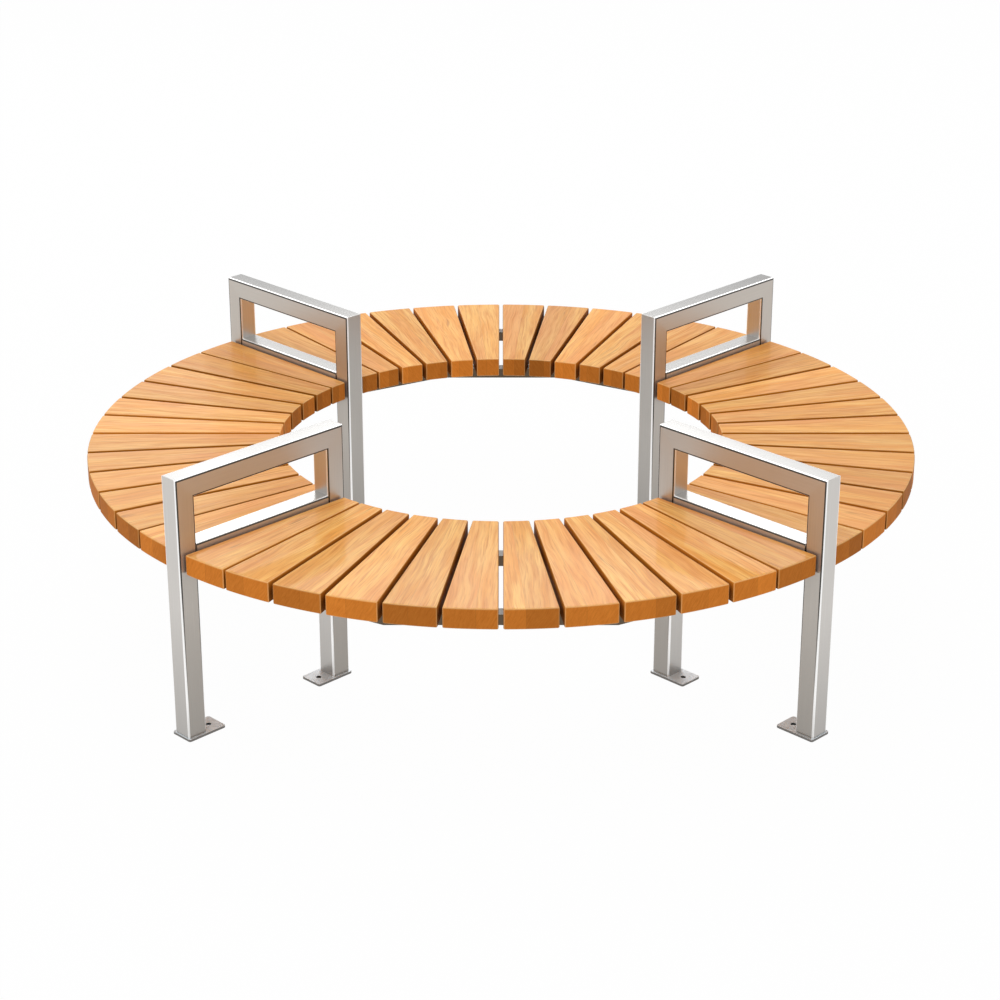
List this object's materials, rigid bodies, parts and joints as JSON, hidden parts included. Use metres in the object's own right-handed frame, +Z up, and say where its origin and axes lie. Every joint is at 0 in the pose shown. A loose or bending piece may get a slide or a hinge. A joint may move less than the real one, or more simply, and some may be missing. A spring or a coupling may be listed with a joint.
{
  "type": "tree bench",
  "caption": "Round backless bench that surrounds a tree: tapered hardwood slats in a ring on welded square-tube frames with armrests.",
  "frame": {"origin": "on the ground, at the middle of the ring, where the tree stands", "axes": "+Z up along the tree's axis, -Y towards the front quadrant, the frames in the planes at 45 degrees"},
  "size_m": [2, 2, 0.63],
  "materials": {
    "slat_wood": "oiled hardwood, satin",
    "frame_steel": "brushed stainless, ground welds",
    "carrier_steel": "mill stainless",
    "fastener_steel": "plain stainless"
  },
  "bodies": {
    "root": {"slat_back_01": "slat_wood", "slat_back_02": "slat_wood", "slat_back_03": "slat_wood", "slat_back_04": "slat_wood", "slat_back_05": "slat_wood", "slat_back_06": "slat_wood", "slat_back_07": "slat_wood", "slat_back_08": "slat_wood", "slat_back_09": "slat_wood", "slat_back_10": "slat_wood", "slat_back_11": "slat_wood", "slat_back_12": "slat_wood", "slat_left_01": "slat_wood", "slat_left_02": "slat_wood", "slat_left_03": "slat_wood", "slat_left_04": "slat_wood", "slat_left_05": "slat_wood", "slat_left_06": "slat_wood", "slat_left_07": "slat_wood", "slat_left_08": "slat_wood", "slat_left_09": "slat_wood", "slat_left_10": "slat_wood", "slat_left_11": "slat_wood", "slat_left_12": "slat_wood", "slat_front_01": "slat_wood", "slat_front_02": "slat_wood", "slat_front_03": "slat_wood", "slat_front_04": "slat_wood", "slat_front_05": "slat_wood", "slat_front_06": "slat_wood", "slat_front_07": "slat_wood", "slat_front_08": "slat_wood", "slat_front_09": "slat_wood", "slat_front_10": "slat_wood", "slat_front_11": "slat_wood", "slat_front_12": "slat_wood", "slat_right_01": "slat_wood", "slat_right_02": "slat_wood", "slat_right_03": "slat_wood", "slat_right_04": "slat_wood", "slat_right_05": "slat_wood", "slat_right_06": "slat_wood", "slat_right_07": "slat_wood", "slat_right_08": "slat_wood", "slat_right_09": "slat_wood", "slat_right_10": "slat_wood", "slat_right_11": "slat_wood", "slat_right_12": "slat_wood", "frame_back_right": "frame_steel", "frame_back_left": "frame_steel", "frame_front_left": "frame_steel", "frame_front_right": "frame_steel", "carrier_back": "carrier_steel", "carrier_left": "carrier_steel", "carrier_front": "carrier_steel", "carrier_right": "carrier_steel", "clamp_plates": "fastener_steel", "clamp_bolts": "fastener_steel"}
  },
  "joints": []
}
